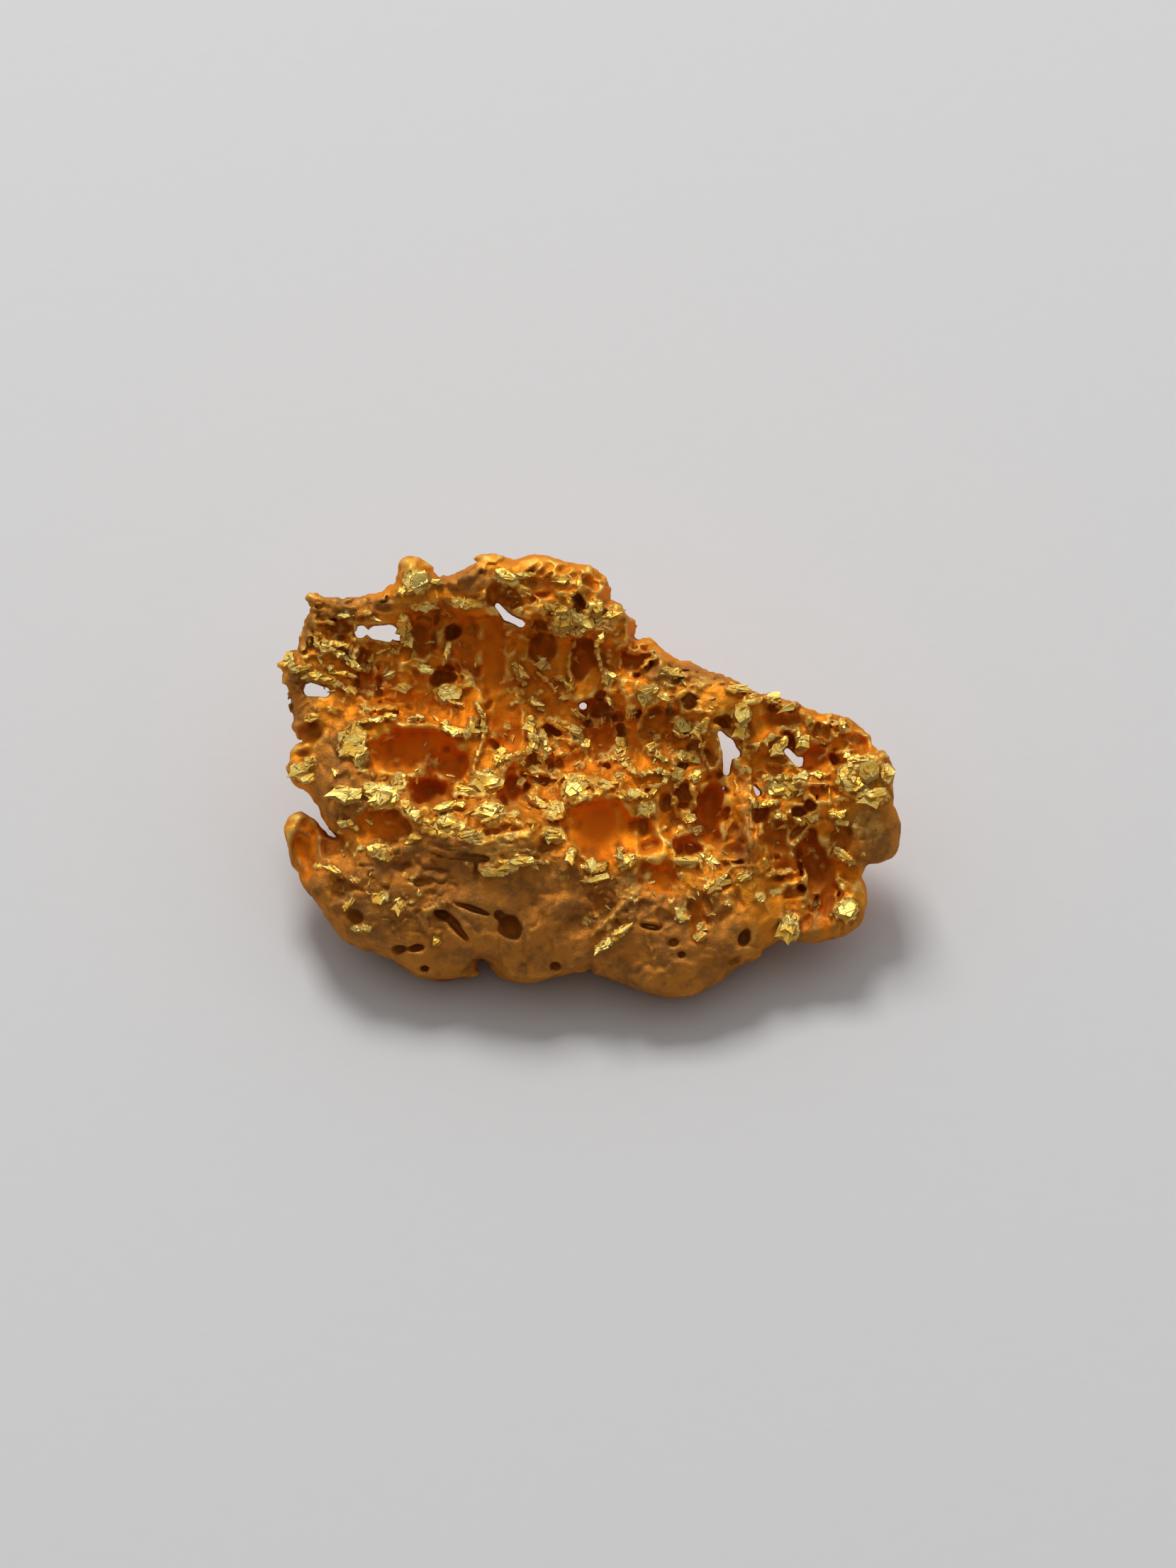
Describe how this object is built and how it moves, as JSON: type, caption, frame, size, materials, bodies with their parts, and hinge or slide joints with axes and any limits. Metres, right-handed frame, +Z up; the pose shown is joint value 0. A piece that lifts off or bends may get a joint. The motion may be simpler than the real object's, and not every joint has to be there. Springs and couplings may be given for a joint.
{
  "type": "gold nugget",
  "caption": "Natural gold nugget: an irregular leaf-shaped lump, spongy and pierced on its upper face, water-worn below, resting on small worn flats.",
  "frame": {"origin": "centre of the bounding box in plan, at the level of the table it stands on", "axes": "+X along the nugget's length, towards its thin wing; +Y towards its high back rim; +Z up"},
  "size_m": [0.0178, 0.0112, 0.0077],
  "materials": {
    "gold": "natural worn gold, matte skin with bright crystal faces"
  },
  "bodies": {
    "root": {"nugget": "gold"}
  },
  "joints": []
}
